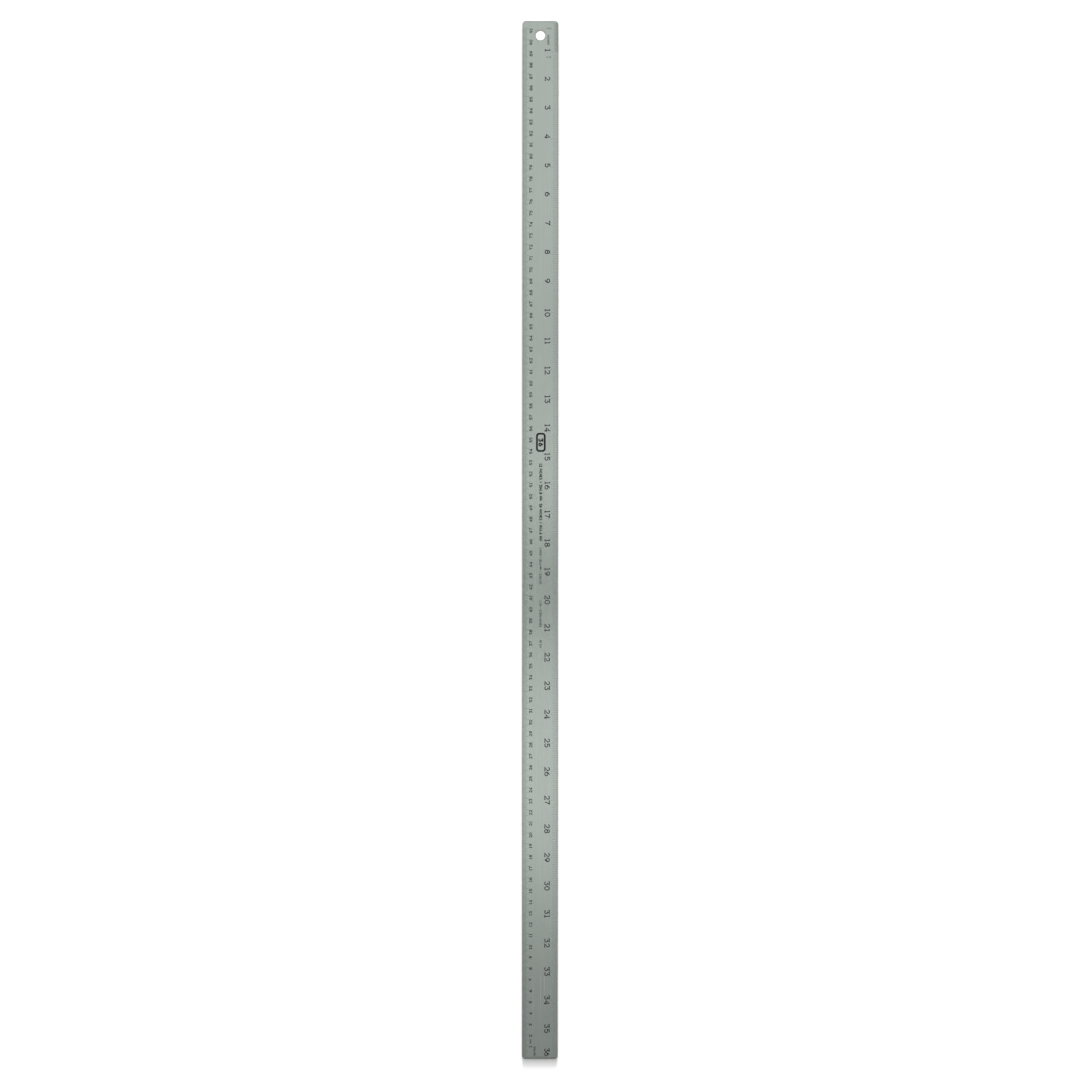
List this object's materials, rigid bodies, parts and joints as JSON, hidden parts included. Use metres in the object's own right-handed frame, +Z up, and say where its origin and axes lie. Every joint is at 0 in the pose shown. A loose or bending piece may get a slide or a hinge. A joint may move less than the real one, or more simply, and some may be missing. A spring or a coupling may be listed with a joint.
{
  "type": "steel ruler",
  "caption": "Long flexible stainless steel ruler with inch and metric edges, a hanging hole and a non-slip cork back.",
  "frame": {"origin": "on the surface that the ruler rests on, below the middle of its length and width", "axes": "+X along the ruler from the hanging-hole end (zero of the inch scale) to the other end; +Y towards the inch edge; +Z up, out of the printed face"},
  "size_m": [0.9184, 0.0318, 0.0015],
  "materials": {
    "stainless_steel": "satin, fine grain along the length",
    "adhesive": "thin clear contact adhesive, slightly yellow",
    "cork": "fine-grained composition cork, matt",
    "scale_ink": "black enamel filled into the etched marks, satin"
  },
  "bodies": {
    "root": {"steel_blade": "stainless_steel", "adhesive_film": "adhesive", "cork_backing": "cork"}
  },
  "joints": []
}
